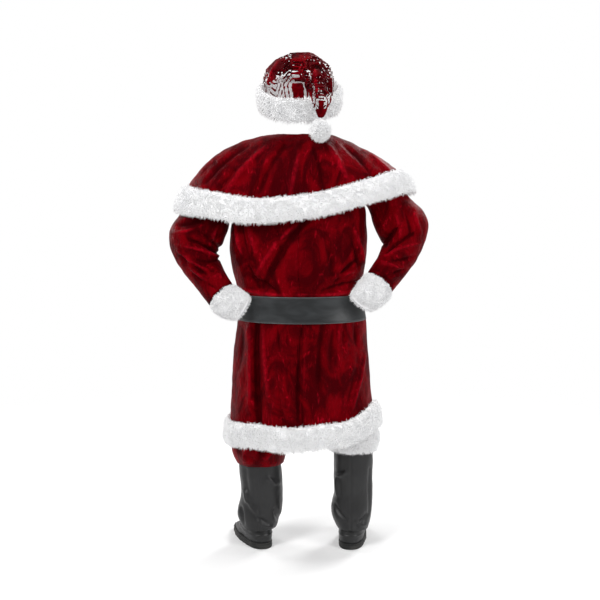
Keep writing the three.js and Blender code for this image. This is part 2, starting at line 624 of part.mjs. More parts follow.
function bucklePlate(halfWidth, halfHeight, thick, x, y) {
  const outline = roundedFrame(halfWidth, halfHeight, Math.min(halfWidth, halfHeight) * 0.45);
  const settings = { depth: thick, bevelEnabled: false, curveSegments: 3 };
  const geometry = new THREE.ExtrudeGeometry(outline, settings);
  geometry.rotateX(Math.PI / 2);
  geometry.translate(x, y, buckleMiddle);
  return geometry;
}
add('buckle_frame', buckleFrame(), brass);
add('buckle_prong', bucklePlate(BUCKLE.halfWidth - 4, 6, 4, 0, buckleFace - BUCKLE.thick - SEAM), brass);

// ---------------------------------------------------------------- capelet
function capePoint(angle, at) {
  const column = (key) => lookup(CAPE, 'at', key, at);
  const turn = ((angle % 360) + 360) % 360;
  const c = Math.cos(rad(turn));
  const s = Math.sin(rad(turn));
  const across = c > 0 ? column('left') : column('right');
  const deep = s > 0 ? column('back') : column('front');
  const flat = sectionPoint(turn, across, deep, 2.15);
  const end = c > 0 ? column('leftZ') : column('rightZ');
  const level = end * c * c + column('midZ') * (1 - c * c);
  const rise = lookup(CAPE_SWAY, 'angle', 'rise', turn) * column('sway');
  let fold = 0;
  for (const row of CAPE_FOLDS) {
    const grown = Math.min(Math.max((at - 0.25) / 0.5, 0), 1);
    fold += row.depth * hump((turn - row.angle) / row.halfWidth) * grown;
  }
  const grow = 1 + fold / Math.hypot(flat.x, flat.y);
  return vec(flat.x * grow, flat.y * grow, level + rise);
}
const cape = offsetting((u, v) => capePoint(u, v * 0.01), (p) => vec(p.x, p.y, 60));
const capeAngles = range(32).map((i) => i * PANEL_STEP);
const capeRows = [0, 0.1, 0.2, 0.31, 0.42, 0.52, 0.62, 0.71, 0.8, 0.9, 1];
const capeFace = (out) => capeRows.map((at) => capeAngles.map((angle) => cape(angle, at * 100, out)));
add('cape', wall(capeFace(0), capeFace(-CLOTH), true), velvet);
add('cape_trim', laidOn(cape, capeAngles, furSection(79, 101.5, FUR, 2.2), true), fur);

// ---------------------------------------------------------------- hat
function tiltedRing(row, sides, shrink) {
  return range(sides).map((j) => {
    const angle = (j / sides) * 2 * Math.PI;
    const x = (row.halfWidth - shrink) * Math.cos(angle);
    const y = (row.halfDepth - shrink) * Math.sin(angle);
    return vec(row.x + x, row.y + y * Math.cos(rad(row.tilt)), row.z - y * Math.sin(rad(row.tilt)));
  });
}

function pointRing(row, sides, shrink) {
  return range(sides).map((j) => {
    const angle = (j / sides) * 2 * Math.PI;
    const x = (row.halfWidth - shrink) * Math.cos(angle);
    const d = (row.thick - shrink) * Math.sin(angle);
    return vec(row.x + x, row.y + d * Math.cos(rad(row.pitch)), row.z + d * Math.sin(rad(row.pitch)));
  });
}

function hatCrown() {
  const SIDES = 22;
  const POINT_SIDES = 14;
  const outerDome = bar(CROWN.map((row) => tiltedRing(row, SIDES, 0)), false);
  const outerPoint = bar(POINT.map((row) => pointRing(row, POINT_SIDES, 0)), false);
  const inside = CROWN.map((row, i) => {
    const drop = i === 0 ? 30 : CLOTH;
    return tiltedRing({ ...row, z: row.z - drop }, SIDES, CLOTH);
  });
  const innerDome = bar(inside, false);
  const innerPoint = bar(POINT.slice(0, -1).map((row) => pointRing(row, POINT_SIDES, CLOTH)), false);
  const outer = toSolid(outerDome).add(toSolid(outerPoint));
  const hollow = toSolid(innerDome).add(toSolid(innerPoint));
  return toGeometry(outer.subtract(hollow));
}
add('hat_crown', hatCrown(), velvet);

function hatBandPoint(angle, height) {
  const tilt = rad(HAT_TILT);
  const x = HAT_RIM.halfWidth * Math.cos(rad(angle));
  const y = HAT_RIM.halfDepth * Math.sin(rad(angle));
  const lean = 1.5 * Math.sin(rad(height * 2.2 + 10));
  const spreadOut = 1 + (lean + 13) / 125;
  const level = y * spreadOut * Math.sin(tilt);
  return vec(
    HAT_RIM.x + x * spreadOut,
    HAT_RIM.y + y * spreadOut * Math.cos(tilt) + height * Math.sin(rad(HAT_BAND_LEAN)),
    HAT_RIM.z - level + height * Math.cos(tilt),
  );
}
const hatBand = offsetting(hatBandPoint, upright);
const bandAngles = range(24).map((i) => i * 15);
add('hat_band', laidOn(hatBand, bandAngles, furSection(40, -40, FUR - 5, 0), true), fur);

const pompom = new THREE.IcosahedronGeometry(POMPOM.radius, 2);
pompom.deleteAttribute('normal');
pompom.deleteAttribute('uv');
pompom.translate(POMPOM.x, POMPOM.y, POMPOM.z);
add('hat_pompom', mergeVertices(pompom, 1e-3), fur);

// ---------------------------------------------------------------- trousers
function trouserLeg(side, rows) {
  const COLUMNS = 14;
  const LEVELS = 12;
  const levels = spread(rows[0].z, rows[rows.length - 1].z, LEVELS);
  const grid = levels.map((z) => {
    const column = (key) => lookup(rows, 'z', key, z);
    const halfWidth = column('halfWidth');
    const x = column('x');
    const seamX = SEAM / 2 + 0.2;
    const open = halfWidth > x - seamX ? Math.acos(Math.max((seamX - x) / halfWidth, -1)) : Math.PI;
    const limit = Math.min(open, Math.PI - SEAM / halfWidth);
    return spread(-limit, limit, COLUMNS).map((angle) =>
      vec(side * (x + halfWidth * Math.cos(angle)), column('y') + column('halfDepth') * Math.sin(angle), z),
    );
  });
  const axis = (i) => vec(side * lookup(rows, 'z', 'x', levels[i]), 0, levels[i]);
  return wall(grid, insideOf(grid, CLOTH, false, axis), false);
}
add('trouser_leg_left', trouserLeg(1, LEFT_LEG), velvet);
add('trouser_leg_right', trouserLeg(-1, RIGHT_LEG), velvet);

const WAISTBAND = { top: -525, bottom: -559.6, halfWidth: 201, halfDepth: 129, thick: 4 };
function waistbandLoop(angle) {
  const at = (z, shrink) => {
    const p = sectionPoint(angle, WAISTBAND.halfWidth - shrink, WAISTBAND.halfDepth - shrink, 2);
    return vec(p.x, p.y, z);
  };
  const { top, bottom, thick } = WAISTBAND;
  return [at(top, 0), at(bottom, 0), at(bottom, thick), at(top, thick)];
}
add('trouser_waistband', bar(range(28).map((i) => waistbandLoop((i * 360) / 28)), true), velvet);

// ---------------------------------------------------------------- boots
function shaftPoint(side, rows) {
  return (angle, z) => {
    const column = (key) => lookup(rows, 'z', key, z);
    const flat = sectionPoint(angle, column('halfWidth'), column('halfDepth'), 2.1);
    return vec(side * (column('x') + flat.x), flat.y, z);
  };
}

// How much higher the top of a boot sits on its outer side than on its inner side.
const BOOT_TOPS = { left: 0, right: 44 };
const SHAFT_ANGLES = range(16).map((i) => i * 22.5);

function bootShaft(name, side, rows) {
  const point = shaftPoint(side, rows);
  const top = rows[0].z;
  const topAt = (angle) => top + BOOT_TOPS[name] * 0.5 * Math.cos(rad(angle));
  const bottom = rows[rows.length - 1].z;
  const grid = spread(0, 1, 8).map((part) =>
    SHAFT_ANGLES.map((angle) => point(angle, topAt(angle) + (bottom - topAt(angle)) * part)),
  );
  return wall(grid, insideOf(grid, VINYL, true, (i) => middleOf(grid[i])), true);
}

function bootCuff(name, side, rows, bottom, thick) {
  const onShaft = offsetting(shaftPoint(side, rows), (p) => vec(p.x - side * rows[0].x, p.y, 0));
  const top = rows[0].z + 4;
  const surface = (angle, part, out) => {
    const topHere = top + BOOT_TOPS[name] * 0.5 * Math.cos(rad(angle));
    return onShaft(angle, topHere + (bottom - topHere) * part, out);
  };
  return laidOn(surface, SHAFT_ANGLES, furSection(0, 1, thick), true);
}

function footOutline(row, sides) {
  return range(sides).map((j) => {
    const angle = (j / sides) * 360;
    const long = Math.sin(rad(angle)) > 0 ? row.back : row.front;
    const flat = sectionPoint(angle, row.halfWidth, long, 2.3);
    const heel = THREE.MathUtils.smoothstep(flat.y, -90, 40);
    return { x: flat.x * (1 - heel * (1 - row.heelWidth)), y: flat.y };
  });
}

function placeFoot(foot, point, z) {
  const turn = rad(foot.splay);
  const x = point.x * Math.cos(turn) - point.y * Math.sin(turn);
  const y = point.x * Math.sin(turn) + point.y * Math.cos(turn);
  return vec(foot.side * (foot.x + x), foot.y + y, z);
}

function bootFoot(foot) {
  const SIDES = 20;
  const grid = FOOT.map((row) => footOutline(row, SIDES).map((p) => placeFoot(foot, p, row.z)));
  const inner = insideOf(grid, VINYL, true, (i) => middleOf(grid[i]));
  inner.forEach((ring, i) => ring.forEach((p) => p.setZ(FOOT[i].z)));
  return wall(grid, inner, true);
}

function bootSole(foot) {
  const outline = footOutline(SOLE, 20);
  return bar([SOLE.top, FLOOR].map((z) => outline.map((p) => placeFoot(foot, p, z))), false);
}

for (const [name, side, rows] of [['left', 1, LEFT_SHAFT], ['right', -1, RIGHT_SHAFT]]) {
  add(`boot_shaft_${name}`, bootShaft(name, side, rows), vinyl);
  add(`boot_foot_${name}`, bootFoot(FEET[name]), leather);
  add(`boot_sole_${name}`, bootSole(FEET[name]), rubber);
}
add('boot_cuff_right', bootCuff('right', -1, RIGHT_SHAFT, -1126, 18), fur);
add('boot_cuff_left', bootCuff('left', 1, LEFT_SHAFT, -1158, 12), fur);

export default suit;
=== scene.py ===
"""Looks of a Santa suit in worn form: hat, capelet, coat, belt, trousers and boots.

Metres, +Z up, the suit's front faces -Y and +X is the wearer's left. Every shell starts from the
outer face of its own solid, takes its listed creases, and gets its wall back at the end.
"""

import math
from collections import namedtuple

import bpy
import numpy as np
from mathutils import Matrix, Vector, noise


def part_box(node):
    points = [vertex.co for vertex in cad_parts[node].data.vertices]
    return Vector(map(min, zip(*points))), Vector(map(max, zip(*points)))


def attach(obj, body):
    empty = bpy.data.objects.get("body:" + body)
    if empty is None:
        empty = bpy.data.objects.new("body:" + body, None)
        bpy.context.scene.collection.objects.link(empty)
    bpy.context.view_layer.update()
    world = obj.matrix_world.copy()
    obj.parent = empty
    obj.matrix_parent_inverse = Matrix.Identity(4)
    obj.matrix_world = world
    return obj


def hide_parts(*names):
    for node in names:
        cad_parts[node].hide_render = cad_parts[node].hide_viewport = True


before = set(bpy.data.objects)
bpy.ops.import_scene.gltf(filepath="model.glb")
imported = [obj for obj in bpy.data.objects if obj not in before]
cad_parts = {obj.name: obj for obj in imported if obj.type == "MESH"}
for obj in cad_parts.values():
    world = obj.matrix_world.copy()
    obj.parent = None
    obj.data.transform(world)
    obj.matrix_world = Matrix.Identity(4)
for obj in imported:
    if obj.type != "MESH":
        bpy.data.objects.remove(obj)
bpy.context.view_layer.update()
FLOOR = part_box("boot_sole_left")[0].z
SOLE_TOP = FLOOR + 0.0216

VELVET_WALL = 0.0018
VINYL_WALL = 0.0022
BOLDNESS = 1.5  # times the depth in the tables of creases


# ------------------------------------------------------------------ camera, light, floor
def place_camera():
    """Behind the suit, a little above its waist, looking slightly down."""
    data = bpy.data.cameras.new("camera")
    data.lens = 66.3
    data.clip_end = 60
    camera = bpy.data.objects.new("camera", data)
    camera.location = (0.0055, 4.0, -0.052)
    camera.rotation_euler = (math.radians(90 - 7.5), 0, math.radians(180))
    bpy.context.scene.collection.objects.link(camera)
    bpy.context.scene.camera = camera


def area_light(name, place, target, size, power):
    data = bpy.data.lights.new(name, "AREA")
    data.shape = "DISK"
    data.size = size
    data.energy = power
    light = bpy.data.objects.new(name, data)
    light.location = place
    light.rotation_euler = (Vector(target) - Vector(place)).to_track_quat("-Z", "Y").to_euler()
    bpy.context.scene.collection.objects.link(light)


def light_studio():
    middle = (0, 0, -0.6)
    area_light("key_back", (2.4, 3.0, 1.9), middle, 1.7, 112)
    area_light("fill_back", (-3.0, 2.3, 0.5), middle, 1.8, 58)
    area_light("key_front", (-2.4, -3.0, 1.9), middle, 1.7, 108)
    area_light("fill_front", (3.0, -2.3, 0.5), middle, 1.8, 54)
    area_light("top", (0, 0, 3.2), middle, 1.6, 40)
    world = bpy.data.worlds.new("studio")
    bpy.context.scene.world = world
    world.use_nodes = True
    tree = world.node_tree
    tree.nodes.clear()
    seen = tree.nodes.new("ShaderNodeBackground")
    seen.inputs["Color"].default_value = (1, 1, 1, 1)
    seen.inputs["Strength"].default_value = 1.0
    ambient = tree.nodes.new("ShaderNodeBackground")
    ambient.inputs["Color"].default_value = (1, 1, 1, 1)
    ambient.inputs["Strength"].default_value = 0.42
    path = tree.nodes.new("ShaderNodeLightPath")
    mix = tree.nodes.new("ShaderNodeMixShader")
    output = tree.nodes.new("ShaderNodeOutputWorld")
    tree.links.new(path.outputs["Is Camera Ray"], mix.inputs[0])
    tree.links.new(ambient.outputs[0], mix.inputs[1])
    tree.links.new(seen.outputs[0], mix.inputs[2])
    tree.links.new(mix.outputs[0], output.inputs["Surface"])
    bpy.context.scene.view_settings.view_transform = "Standard"


# ------------------------------------------------------------------ materials
class Number:
    """A value on a surface. Arithmetic on it adds the Math nodes that work it out."""

    def __init__(self, finish, socket):
        self.finish = finish
        self.socket = socket

    def _with(self, operation, first, second):
        made = self.finish.node(
            "ShaderNodeMath", {"operation": operation}, {0: first, 1: second}
        )
        return Number(self.finish, made.outputs[0])

    def __add__(self, other):
        return self._with("ADD", self, other)

    __radd__ = __add__

    def __mul__(self, other):
        return self._with("MULTIPLY", self, other)

    __rmul__ = __mul__

    def __sub__(self, other):
        return self._with("SUBTRACT", self, other)

    def __rsub__(self, other):
        return self._with("SUBTRACT", other, self)

    def __neg__(self):
        return self._with("MULTIPLY", self, -1.0)

    def __abs__(self):
        return self._with("ABSOLUTE", self, 0.0)

    def fraction(self):
        return self._with("FRACT", self, 0.0)

    def above(self, low, high):
        """0 below low, 1 above high, smooth between."""
        made = self.finish.node(
            "ShaderNodeMapRange",
            {"interpolation_type": "SMOOTHSTEP", "clamp": True},
            {"Value": self, "From Min": low, "From Max": high, "To Min": 0.0, "To Max": 1.0},
        )
        return Number(self.finish, made.outputs[0])


class Finish:
    """A material being made: one Principled shader and what feeds it."""

    def __init__(self, name, **constants):
        self.material = bpy.data.materials.new(name)
        self.material.use_nodes = True
        self.tree = self.material.node_tree
        self.tree.nodes.clear()
        self.output = self.node("ShaderNodeOutputMaterial")
        self.shader = self.node("ShaderNodeBsdfPrincipled")
        for key, value in constants.items():
            self.shader.inputs[key.replace("_", " ")].default_value = value
        self.tree.links.new(self.shader.outputs[0], self.output.inputs["Surface"])
        self.place = self.node("ShaderNodeTexCoord").outputs["Object"]

    def node(self, kind, settings=None, inputs=None):
        made = self.tree.nodes.new(kind)
        for key, value in (settings or {}).items():
            setattr(made, key, value)
        for key, value in (inputs or {}).items():
            value = getattr(value, "socket", value)
            if isinstance(value, bpy.types.NodeSocket):
                self.tree.links.new(value, made.inputs[key])
            else:
                made.inputs[key].default_value = value
        return made

    def noise(self, scale, detail=3.0, distortion=0.0, stretch=(1, 1, 1), rough=0.5):
        mapped = self.node("ShaderNodeMapping", None, {"Vector": self.place, "Scale": stretch})
        made = self.node(
            "ShaderNodeTexNoise",
            None,
            {
                "Vector": mapped.outputs[0],
                "Scale": scale,
                "Detail": detail,
                "Distortion": distortion,
                "Roughness": rough,
            },
        )
        return Number(self, made.outputs[0])

    def stored(self, name):
        """A value kept on the mesh, such as how far a point stands out on a crease."""
        made = self.node("ShaderNodeAttribute", {"attribute_name": name})
        return Number(self, made.outputs["Fac"])

    def distance(self):
        made = self.node("ShaderNodeVectorMath", {"operation": "LENGTH"}, {0: self.place})
        return Number(self, made.outputs["Value"])

    def blend(self, part, low, high):
        """A colour between two colours."""
        made = self.node("ShaderNodeMix", {"data_type": "RGBA"}, {0: part, 6: low, 7: high})
        return made.outputs[2]

    def color(self, socket):
        self.tree.links.new(socket, self.shader.inputs["Base Color"])

    def roughness(self, number):
        self.tree.links.new(number.socket, self.shader.inputs["Roughness"])

    def alpha(self, number):
        self.tree.links.new(number.socket, self.shader.inputs["Alpha"])

    def bump(self, height, depth, strength=1.0):
        made = self.node(
            "ShaderNodeBump", None, {"Height": height, "Distance": depth, "Strength": strength}
        )
        self.tree.links.new(made.outputs[0], self.shader.inputs["Normal"])


def crushed_velvet(name="crushed_velvet"):
    """Stretch velvet: patches of darker and lighter pile, painted shade in the creases' troughs, painted
    pink highlights along their ridges, painted highlight streaks and small painted glints.
    """
    finish = Finish(
        name,
        Sheen_Weight=0.16,
        Sheen_Roughness=0.3,
        Sheen_Tint=(1.0, 0.03, 0.08, 1),
        IOR=1.18,
        Specular_Tint=(1.0, 0.04, 0.1, 1),
    )
    crush = finish.noise(6.5, 5, 1.8, (1.3, 1.3, 0.8), 0.6)
    streak = finish.noise(26, 4, 2.6, (1.7, 1.7, 0.5), 0.62)
    crinkle = finish.noise(80, 4, 1.2, (1, 1, 0.55), 0.65)
    pile = finish.noise(900, 2)
    lying = crush.above(0.38, 0.64)
    painted_glint = crinkle.above(0.55, 0.72)
    crest = finish.stored("crest")
    # painted highlight: the colour brightens along the crease ridges
    ridge = crest.above(0.2, 1.0) * (0.35 + 0.65 * crinkle.above(0.4, 0.62))
    # painted shade: the crease troughs are picked out here to darken the colour
    trough = (-crest).above(0.15, 0.95)
    # painted highlight: pale pink streaks and small glints painted into the colour
    shine = streak.above(0.57, 0.76) * (0.3 + 0.7 * lying) + 0.22 * painted_glint * lying
    shine = shine * (1 - 0.7 * trough) + 0.5 * ridge
    deep = finish.blend(lying, (0.045, 0.0, 0.001, 1), (0.16, 0.0, 0.0022, 1))
    # painted shade: the colour goes near black in the crease troughs
    deep = finish.blend(trough * 0.8, deep, (0.016, 0.0, 0.0004, 1))
    # the pale pink that the painted highlights blend towards
    lit = finish.blend(shine, deep, (0.5, 0.004, 0.016, 1))
    finish.color(finish.blend(pile.above(0.3, 0.8) * 0.3, lit, (0.04, 0.0, 0.001, 1)))
    finish.roughness(0.5 - 0.14 * shine + 0.08 * (pile - 0.5))
    finish.bump(crinkle * 0.55 + streak * 0.9 + pile * 0.06, 0.007, 0.6)
    return finish.material


def plush_fur(name="white_plush"):
    """White fur: grey patches painted in as shade between clumps, finer streaks of brighter fibre, and a
    faint painted white glow.
    """
    finish = Finish(
        name,
        Sheen_Weight=0.5,
        Sheen_Roughness=0.5,
        Sheen_Tint=(1, 1, 1, 1),
        Specular_IOR_Level=0.3,
        # painted light: a faint white emission makes the fur glow brighter than the lamps light it
        Emission_Color=(1, 1, 1, 1),
        Emission_Strength=0.1,
    )
    clump = finish.noise(38, 4, 0.6)
    fibre = finish.noise(600, 2, 0.0, (1, 1, 0.3))
    # painted shade: the clump noise greys the white as shade between clumps
    base = finish.blend(clump.above(0.3, 0.65), (0.86, 0.86, 0.875, 1), (0.96, 0.96, 0.965, 1))
    finish.color(finish.blend(fibre.above(0.35, 0.7) * 0.4, base, (0.98, 0.98, 0.98, 1)))
    finish.roughness(0.85 + 0.1 * fibre)
    finish.bump(clump * 0.7 + fibre * 0.3, 0.004, 0.5)
    return finish.material


def boot_cloth():
    """Coated cloth of the boots: a fine leather grain, soft shine, scuffs and broad wrinkles."""
    finish = Finish("boot_vinyl", Specular_IOR_Level=0.42)
    pebble = finish.noise(380, 3, 0.3)
    scuff = finish.noise(9, 5, 0.8)
    broad = finish.noise(18, 3, 1.2, (1, 1, 0.5))
    dull = (0.006, 0.006, 0.0064, 1)
    rubbed = (0.010125, 0.010125, 0.0108, 1)
    finish.color(finish.blend(scuff.above(0.35, 0.7), dull, rubbed))
    finish.roughness(0.4 + 0.16 * (scuff - 0.5) + 0.05 * pebble)
    finish.bump(pebble * 0.12 + broad * 0.8, 0.004, 0.6)
    return finish.material


def belt_cloth():
    """Black coated belt: fine grain, pale edges, a row of stitches along each edge."""
    finish = Finish("belt_vinyl", Specular_IOR_Level=0.5)
    pebble = finish.noise(420, 3, 0.3)
    scuff = finish.noise(11, 5, 0.8, (1, 1, 2.5))
    edge = abs(finish.stored("across") - 0.5)
    rim = edge.above(0.462, 0.482)
    groove = 1 - abs(edge - 0.452).above(0.0, 0.013)
    dash = abs((finish.stored("along") * 220).fraction() - 0.5).above(0.14, 0.2)
    stitch = (1 - abs(edge - 0.43).above(0.004, 0.01)) * (1 - dash)
    dull = finish.blend(scuff.above(0.35, 0.72), (0.011, 0.0125, 0.0135, 1), (0.026, 0.029, 0.031, 1))
    # pale bands along the top and bottom edges of the belt
    pale_rimmed = finish.blend(rim * 0.6, dull, (0.1, 0.105, 0.11, 1))
    finish.color(finish.blend(stitch, pale_rimmed, (0.05, 0.052, 0.055, 1)))
    finish.roughness(0.3 + 0.2 * (scuff - 0.4) + 0.05 * pebble)
    finish.bump(pebble * 0.08 + scuff * 0.35 - groove * 0.5 + rim * 0.3 + stitch * 0.4, 0.004, 0.7)
    return finish.material


def sole_rubber():
    finish = Finish("sole_rubber", Specular_IOR_Level=0.4)
    grit = finish.noise(240, 4)
    dust = finish.noise(14, 4, 0.5)
    finish.color(finish.blend(dust.above(0.4, 0.75), (0.012, 0.012, 0.012, 1), (0.045, 0.043, 0.04, 1)))
    finish.roughness(0.7 + 0.2 * grit)
    finish.bump(grit, 0.0008, 0.5)
    return finish.material


def brass_plate():
    finish = Finish("brass_plate", Metallic=1.0)
    wear = finish.noise(26, 5, 0.6)
    scratch = finish.noise(160, 3, 0.0, (1, 1, 6))
    finish.color(finish.blend(wear.above(0.35, 0.7), (0.62, 0.42, 0.16, 1), (0.8, 0.6, 0.28, 1)))
    finish.roughness(0.2 + 0.2 * wear + 0.06 * scratch)
    finish.bump(scratch, 0.0003, 0.4)
    return finish.material


def studio_floor():
    """A pale floor that fades out into the white studio round it."""
    finish = Finish("studio_floor", Specular_IOR_Level=0.1)
    mottle = finish.noise(1.5, 2)
    finish.color(finish.blend(mottle, (0.94, 0.94, 0.94, 1), (0.97, 0.97, 0.97, 1)))
    finish.roughness(0.8 + 0.1 * mottle)
    finish.alpha(1 - finish.distance().above(0.9, 2.9))
    return finish.material


# ------------------------------------------------------------------ mesh helpers
def deselect():
    bpy.ops.object.select_all(action="DESELECT")


def make_active(piece):
    deselect()
    piece.select_set(True)
    bpy.context.view_layer.objects.active = piece


def apply_modifier(piece, kind, **settings):
    make_active(piece)
    modifier = piece.modifiers.new(kind.lower(), kind)
    for key, value in settings.items():
        setattr(modifier, key, value)
    bpy.ops.object.modifier_apply(modifier=modifier.name)


def copy_node(node, name):
    """A copy of a CAD solid with its loose triangles merged and paired into four-sided faces."""
    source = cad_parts[node]
    piece = source.copy()
    piece.data = source.data.copy()
    piece.name = name
    piece.data.name = name
    for key in list(piece.keys()):
        if key.startswith("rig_"):
            del piece[key]
    piece.parent = None
    piece.data.materials.clear()
    bpy.context.scene.collection.objects.link(piece)
    make_active(piece)
    bpy.ops.object.mode_set(mode="EDIT")
    bpy.ops.mesh.select_all(action="SELECT")
    bpy.ops.mesh.remove_doubles(threshold=0.00002)
    bpy.ops.mesh.tris_convert_to_quads(face_threshold=math.radians(60), shape_threshold=math.radians(60))
    bpy.ops.object.mode_set(mode="OBJECT")
    return piece


def keep_faces(piece, wanted):
    """Deletes every face that is not wanted."""
    make_active(piece)
    bpy.ops.object.mode_set(mode="EDIT")
    bpy.ops.mesh.select_all(action="DESELECT")
    bpy.ops.mesh.select_mode(type="FACE")
    bpy.ops.object.mode_set(mode="OBJECT")
    piece.data.polygons.foreach_set("select", [not w for w in wanted])
    bpy.ops.object.mode_set(mode="EDIT")
    bpy.ops.mesh.delete(type="FACE")
    bpy.ops.object.mode_set(mode="OBJECT")


def short_edged(piece, wall):
    """True for each face with an edge as short as the wall is thick: the rims of a wall."""
    mesh = piece.data
    points = [v.co for v in mesh.vertices]
    found = []
    for face in mesh.polygons:
        lengths = [(points[a] - points[b]).length for a, b in face.edge_keys]
        found.append(min(lengths) < wall * 1.35)
    return found


def outer_face(piece, rim):
    """Leaves only the outer face of a thin wall: drops the rims, then the smaller side."""
    mesh = piece.data
    links = {}
    for face in mesh.polygons:
        if not rim[face.index]:
            for edge in face.edge_keys:
                links.setdefault(edge, []).append(face.index)
    island = {}
    for face in mesh.polygons:
        if rim[face.index] or face.index in island:
            continue
        stack = [face.index]
        island[face.index] = face.index
        while stack:
            here = stack.pop()
            for edge in mesh.polygons[here].edge_keys:
                for other in links.get(edge, ()):
                    if other not in island:
                        island[other] = island[here]
                        stack.append(other)
    areas = {}
    for index, group in island.items():
        areas[group] = areas.get(group, 0) + mesh.polygons[index].area
    best = max(areas, key=areas.get)
    keep_faces(piece, [island.get(i) == best for i in range(len(mesh.polygons))])


def coords(piece):
    flat = np.empty(len(piece.data.vertices) * 3)
    piece.data.vertices.foreach_get("co", flat)
    return flat.reshape(-1, 3)


def normals(piece):
    flat = np.empty(len(piece.data.vertices) * 3)
    piece.data.vertices.foreach_get("normal", flat)
    return flat.reshape(-1, 3)


def set_coords(piece, points):
    piece.data.vertices.foreach_set("co", np.asarray(points, float).reshape(-1))
    piece.data.update()


def push(piece, amounts):
    """Moves each point along its normal."""
    set_coords(piece, coords(piece) + normals(piece) * np.asarray(amounts)[:, None])


def subdivide(piece, levels):
    corners = "PRESERVE_CORNERS"
    apply_modifier(
        piece, "SUBSURF", levels=levels, render_levels=levels, boundary_smooth=corners
    )


def round_edges(piece, width, segments, sharper_than):
    """Bevels the edges that turn by more than an angle in degrees."""
    angle = math.radians(sharper_than)
    apply_modifier(
        piece, "BEVEL", width=width, segments=segments, limit_method="ANGLE", angle_limit=angle
    )


def thicken(piece, wall):
    apply_modifier(piece, "SOLIDIFY", thickness=wall, offset=-1, use_even_offset=False)


def smooth_shade(piece):
    for face in piece.data.polygons:
        face.use_smooth = True


def store(piece, name, values):
    """Keeps one value a point on the mesh, for its material."""
    kept = piece.data.attributes.new(name, "FLOAT", "POINT")
    kept.data.foreach_set("value", np.asarray(values, np.float32))


# side is 1 for the back, -1 for the front and 0 for both. A crease runs from x0, z0 to x1, z1,
# bowed sideways by `bow`, `wide` from its middle to its edge; a negative depth is a trough.
Crease = namedtuple("Crease", "x0 z0 x1 z1 wide depth side bow", defaults=(0.0,))


def crease_heights(points, facing, creases):
    """How far each point moves out or in for a list of creases."""
    total = np.zeros(len(points))
    for crease in creases:
        start = np.array([crease.x0, crease.z0])
        along = np.array([crease.x1, crease.z1]) - start
        length = np.hypot(*along)
        along = along / length
        flat = points[:, [0, 2]] - start
        t = flat @ along / length
        inside = np.clip(t, 0, 1)
        across = flat @ np.array([-along[1], along[0]]) - crease.bow * 4 * inside * (1 - inside)
        beyond = (t - inside) * length
        distance = np.hypot(across, beyond) / crease.wide
        taper = 0.35 + 0.65 * np.sin(np.pi * np.clip(0.12 + 0.76 * inside, 0, 1))
        shape = np.exp(-2.2 * distance**2) * taper * crease.depth * BOLDNESS
        if crease.side:
            shape *= np.clip(facing[:, 1] * crease.side * 3 + 0.4, 0, 1)
        total += shape
    return total


def rumple(points, scale, depth, stretch=(1, 1, 1), seed=0.0):
    """Small uneven wrinkles."""
    shift = Vector((seed, seed * 1.7, seed * 0.6))
    grid = Vector(stretch) * scale
    heights = [
        noise.noise(Vector((p[0] * grid.x, p[1] * grid.y, p[2] * grid.z)) + shift) for p in points
    ]
    return np.array(heights) * depth


def finish_piece(piece, node, material):
    piece.data.materials.clear()
    piece.data.materials.append(material)
    smooth_shade(piece)
    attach(piece, "root")
    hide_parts(node)
    return piece


def surface_area(piece):
    return sum(face.area for face in piece.data.polygons)


Cut = namedtuple("Cut", "width length held")


# ------------------------------------------------------------------ velvet pieces
def velvet_shell(node, levels, creases, wrinkle, seed, fuller=0.0):
    """A velvet shell on its solid's outer face, with its listed creases and small wrinkles."""
    piece = copy_node(node, node + "_velvet")
    outer_face(piece, short_edged(piece, 0.002))
    subdivide(piece, levels)
    flat_area = surface_area(piece)
    points = coords(piece)
    facing = normals(piece)
    heights = crease_heights(points, facing, creases)
    heights += rumple(points, 11, wrinkle, (1.6, 1.2, 0.8), seed)
    heights += rumple(points, 34, wrinkle * 0.45, (1.4, 1.2, 0.8), seed + 9)
    push(piece, heights + fuller)
    # these crease heights also set the velvet's painted highlights on ridges and painted shade in
    # troughs
    store(piece, "crest", np.clip(heights / 0.009, -1, 1))
    thicken(piece, VELVET_WALL)
    finish_piece(piece, node, velvet)
    return piece, flat_area


SKIRT_BACK = [
    Crease(0.160, -0.650, 0.152, -1.000, 0.017, -0.013, 1, 0.006),
    Crease(0.186, -0.660, 0.188, -0.960, 0.018, 0.006, 1, -0.004),
    Crease(0.135, -0.660, 0.118, -0.900, 0.014, 0.006, 1, 0.004),
    Crease(0.002, -0.655, 0.012, -0.990, 0.011, -0.009, 1, 0.005),
    Crease(-0.014, -0.665, -0.006, -0.900, 0.010, 0.004, 1),
    Crease(-0.072, -0.655, -0.060, -0.880, 0.016, -0.006, 1, 0.004),
    Crease(-0.110, -0.660, -0.104, -0.780, 0.012, -0.004, 1),
    Crease(-0.228, -0.770, -0.176, -0.965, 0.008, 0.006, 1, -0.006),
    Crease(-0.205, -0.760, -0.165, -0.930, 0.012, -0.004, 1, -0.004),
    Crease(0.215, -0.670, 0.226, -0.820, 0.014, -0.006, 1, -0.004),
    Crease(0.085, -0.652, 0.080, -0.740, 0.009, -0.005, 1),
    Crease(0.052, -0.652, 0.050, -0.720, 0.008, -0.004, 1),
    Crease(-0.148, -0.652, -0.152, -0.735, 0.010, -0.005, 1),
    Crease(-0.190, -0.655, -0.200, -0.730, 0.010, -0.005, 1),
    Crease(0.080, -0.860, 0.060, -1.010, 0.012, -0.004, 1, 0.004),
]
